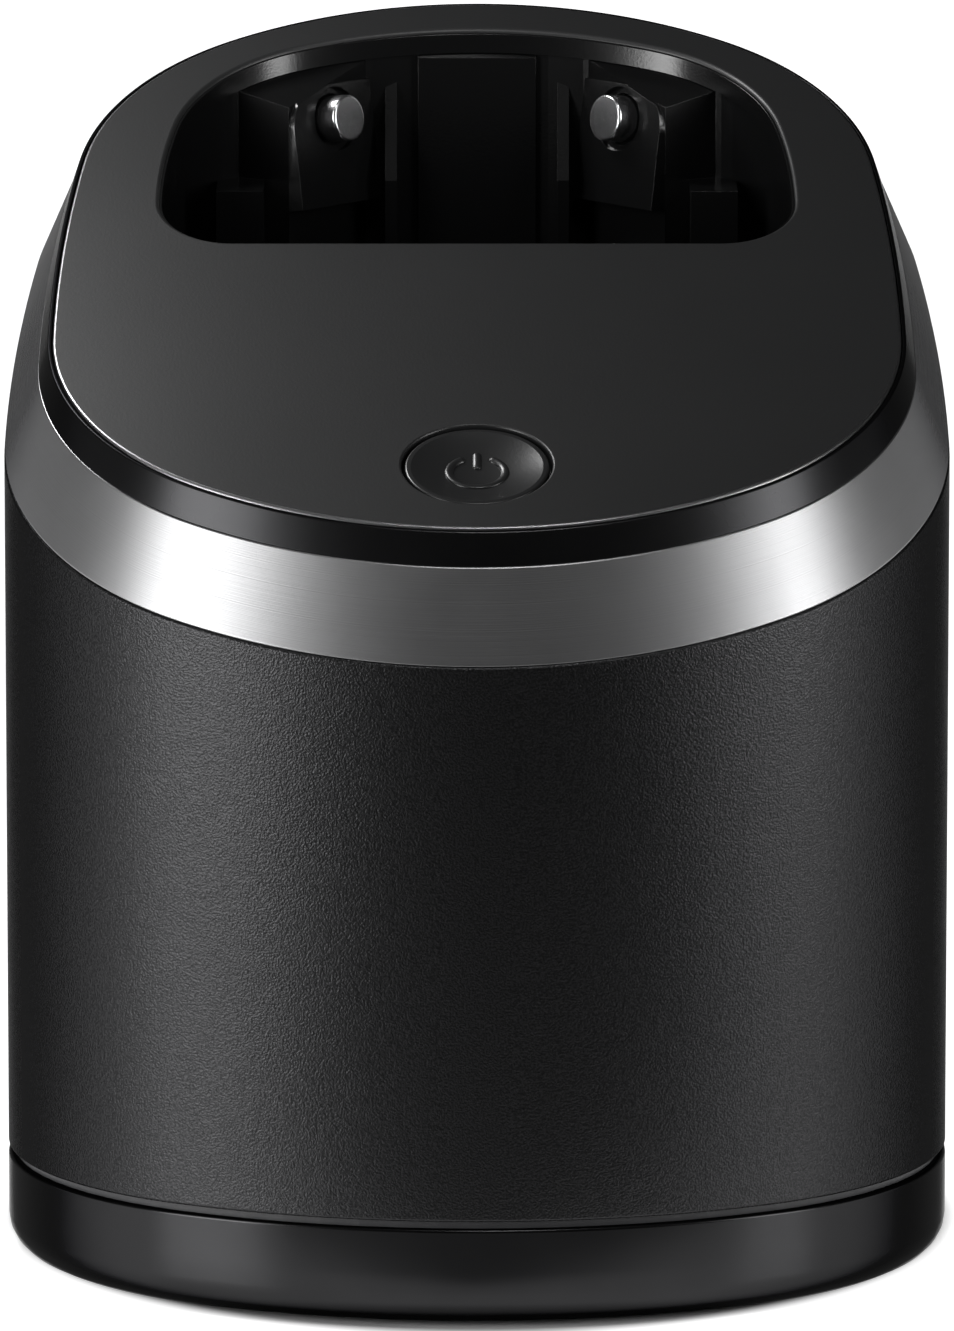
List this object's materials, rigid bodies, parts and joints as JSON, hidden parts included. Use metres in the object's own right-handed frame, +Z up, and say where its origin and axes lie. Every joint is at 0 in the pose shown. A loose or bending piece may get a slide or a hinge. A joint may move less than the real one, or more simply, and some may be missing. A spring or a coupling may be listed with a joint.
{
  "type": "shaver cleaning station",
  "caption": "Cleaning station for an electric shaver: egg-plan housing with a sloping top, a well with sprung contact pins, a push button and a pump above a removable fluid cartridge.",
  "frame": {"origin": "on the table, under the middle of the plan's bounding box", "axes": "+Z up, -Y towards the user (the low side with the button), +X to the right as the user sees it"},
  "size_m": [0.11, 0.1238, 0.1372],
  "materials": {
    "gloss_black": "polished",
    "textured_black": "fine sand grain",
    "panel_graphite": "satin lacquer",
    "band_metal": "satin with fine lines around",
    "pin_metal": "polished",
    "spring_steel": "drawn wire",
    "screw_steel": "plated",
    "motor_steel": "plated can",
    "plug_brass": "turned",
    "inner_grey": "moulded",
    "pump_ivory": "moulded",
    "cartridge_blue": "moulded",
    "filter_white": "felted",
    "hose_clear": "soft, milky",
    "rubber_black": "matte",
    "board_green": "solder mask",
    "lead_red": "insulation"
  },
  "bodies": {
    "base": {"base_ring": "gloss_black", "base_tray": "inner_grey", "base_plate": "inner_grey", "base_gasket": "rubber_black", "rubber_feet": "rubber_black", "base_screws": "screw_steel", "cartridge_cup": "cartridge_blue", "cartridge_lid": "cartridge_blue", "cartridge_filter": "filter_white"},
    "housing": {"outer_sleeve": "textured_black", "trim_band": "band_metal", "bezel_ring": "gloss_black", "top_panel": "panel_graphite", "well_liner": "gloss_black", "drain_strainer": "screw_steel", "spray_nozzle": "inner_grey", "drain_pipe": "inner_grey", "delivery_hose": "hose_clear", "suction_hose": "hose_clear", "inner_frame": "inner_grey", "frame_screws": "screw_steel", "liner_screws": "screw_steel", "pump_motor": "motor_steel", "pump_body": "pump_ivory", "pump_cover": "pump_ivory", "pump_gasket": "rubber_black", "shaft_seal": "rubber_black", "pump_screws": "screw_steel", "button_switch": "inner_grey", "control_board": "board_green", "board_screws": "screw_steel", "contact_plugs": "plug_brass", "contact_leads": "lead_red", "motor_leads": "rubber_black"},
    "button": {"power_button": "gloss_black", "button_spring": "spring_steel"},
    "left_pin": {"left_contact_pin": "pin_metal", "left_contact_spring": "spring_steel"},
    "right_pin": {"right_contact_pin": "pin_metal", "right_contact_spring": "spring_steel"},
    "pump_rotor": {"motor_shaft": "screw_steel", "impeller": "pump_ivory"}
  },
  "joints": [
    {"name": "housing_lift", "type": "slide", "parent": "base", "child": "housing", "axis": [0, 0, 1], "range_m": [0, 0.06]},
    {"name": "power_button_press", "type": "slide", "parent": "housing", "child": "button", "axis": [0, 0.3714, -0.9285], "range_m": [0, 0.0008], "stiffness_N_per_m": 600, "springref_m": -0.002, "deforming": ["button_spring"]},
    {"name": "left_pin_press", "type": "slide", "parent": "housing", "child": "left_pin", "axis": [-0.7586, 0.6365, -0.1392], "range_m": [0, 0.001], "stiffness_N_per_m": 400, "springref_m": -0.001, "deforming": ["left_contact_spring"]},
    {"name": "right_pin_press", "type": "slide", "parent": "housing", "child": "right_pin", "axis": [0.7586, 0.6365, -0.1392], "range_m": [0, 0.001], "stiffness_N_per_m": 400, "springref_m": -0.001, "deforming": ["right_contact_spring"]},
    {"name": "pump_spin", "type": "hinge", "parent": "housing", "child": "pump_rotor", "pos_m": [0, -0.026, 0.07], "axis": [0, 0, 1], "continuous": true}
  ]
}
